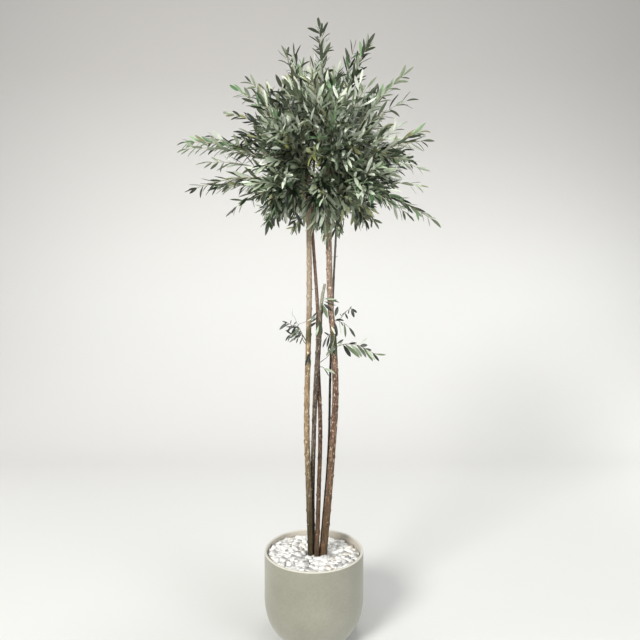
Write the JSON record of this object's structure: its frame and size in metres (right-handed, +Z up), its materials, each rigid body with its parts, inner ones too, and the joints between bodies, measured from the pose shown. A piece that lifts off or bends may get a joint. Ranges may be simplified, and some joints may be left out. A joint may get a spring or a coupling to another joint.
{
  "type": "potted olive tree",
  "caption": "Slender olive tree with a loose narrow-leaved head on tall bare stems, standing in a plain round-bottomed pot topped with white stone chips.",
  "frame": {"origin": "centre of the pot's flat underside, on the surface it stands on", "axes": "+Z up along the stems, +X to the right and -Y towards the viewer when the plant is seen from its front"},
  "size_m": [0.8831, 0.6406, 2.0118],
  "materials": {
    "pot_clay": "matte unglazed grey-green fibre clay",
    "potting_mix": "dark crumbly potting mix",
    "marble_chips": "rough white chips",
    "bark_tan": "pale tan bark",
    "bark_brown": "grey-brown to reddish bark",
    "foliage": "satin grey-green leaf, silvery beneath"
  },
  "bodies": {
    "root": {"bough_low_back": "bark_brown", "bough_low_back_left": "bark_brown", "bough_low_back_right": "bark_brown", "bough_low_front": "bark_brown", "bough_low_front_left": "bark_brown", "bough_low_front_right": "bark_brown", "bough_low_left": "bark_brown", "bough_low_right": "bark_brown", "bough_mid_back": "bark_brown", "bough_mid_back_left": "bark_brown", "bough_mid_back_right": "bark_brown", "bough_mid_front": "bark_brown", "bough_mid_front_left": "bark_brown", "bough_mid_left": "bark_brown", "bough_mid_right": "bark_brown", "bough_top_right": "bark_brown", "bough_upper_front": "bark_brown", "bough_upper_left": "bark_brown", "bough_upper_right": "bark_brown", "mass_low_back": "foliage", "mass_low_back_left": "foliage", "mass_low_back_right": "foliage", "mass_low_front": "foliage", "mass_low_front_left": "foliage", "mass_low_front_right": "foliage", "mass_low_left": "foliage", "mass_low_right": "foliage", "mass_mid_back": "foliage", "mass_mid_back_left": "foliage", "mass_mid_back_right": "foliage", "mass_mid_front": "foliage", "mass_mid_front_left": "foliage", "mass_mid_left": "foliage", "mass_mid_right": "foliage", "mass_top": "foliage", "mass_top_left": "foliage", "mass_top_right": "foliage", "mass_upper_back": "foliage", "mass_upper_back_right": "foliage", "mass_upper_front": "foliage", "mass_upper_left": "foliage", "mass_upper_right": "foliage", "pebble_bed": "marble_chips", "pot": "pot_clay", "potting_fill": "potting_mix", "sprig_front": "foliage", "sprig_left": "foliage", "sprig_right": "foliage", "sprig_upper_right": "foliage", "stem_left": "bark_tan", "stem_middle": "bark_brown", "stem_middle_thin": "bark_brown", "stem_right": "bark_brown", "stem_right_thin": "bark_brown", "stem_stub": "bark_tan"}
  },
  "joints": []
}
